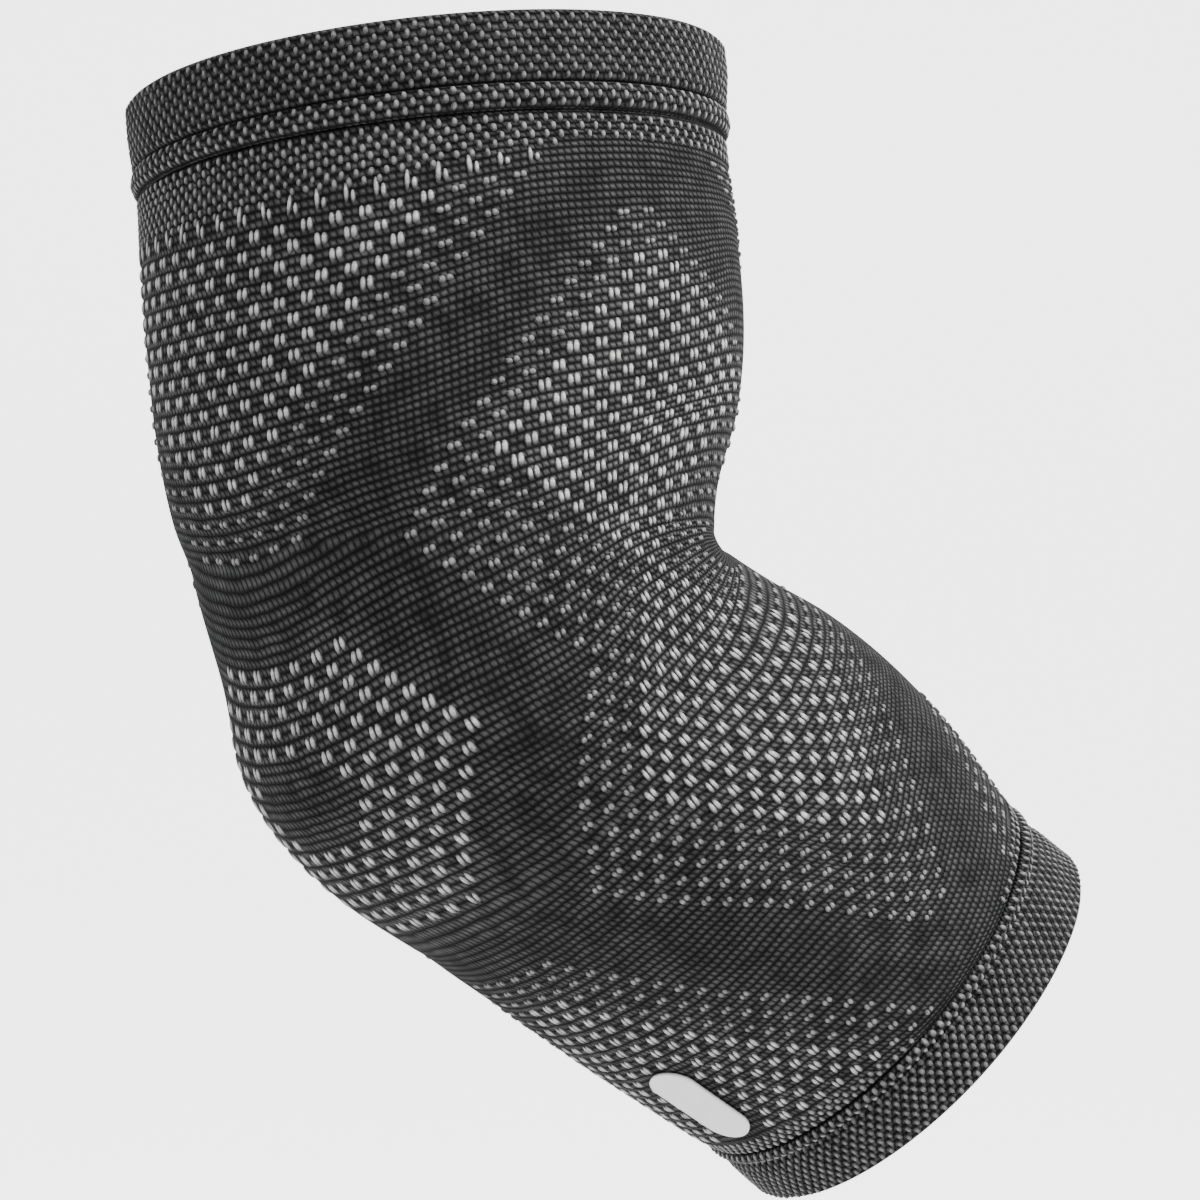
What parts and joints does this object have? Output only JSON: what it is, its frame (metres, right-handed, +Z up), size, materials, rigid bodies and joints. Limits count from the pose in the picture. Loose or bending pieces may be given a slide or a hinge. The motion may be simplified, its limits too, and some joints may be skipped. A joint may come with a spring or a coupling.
{
  "type": "elbow brace",
  "caption": "Knitted compression sleeve for a bent elbow, with folded cuffs, patterned knit zones and a blank transfer film.",
  "frame": {"origin": "middle of the elbow, on the centre line of the hollow that the arm fills", "axes": "+Z up towards the upper rim, +X to the side of the crook where the forearm goes, the arm bends in the XZ plane, and the brace is even about Y = 0"},
  "size_m": [0.1711, 0.0994, 0.1931],
  "materials": {
    "body_knit": "charcoal knit with light grey yarn marks",
    "cuff_knit": "charcoal knit dotted with light grey yarn",
    "film": "satin white heat-transfer film"
  },
  "bodies": {
    "root": {"sleeve_body": "body_knit", "upper_cuff": "cuff_knit", "lower_cuff": "cuff_knit", "transfer_film": "film"}
  },
  "joints": []
}
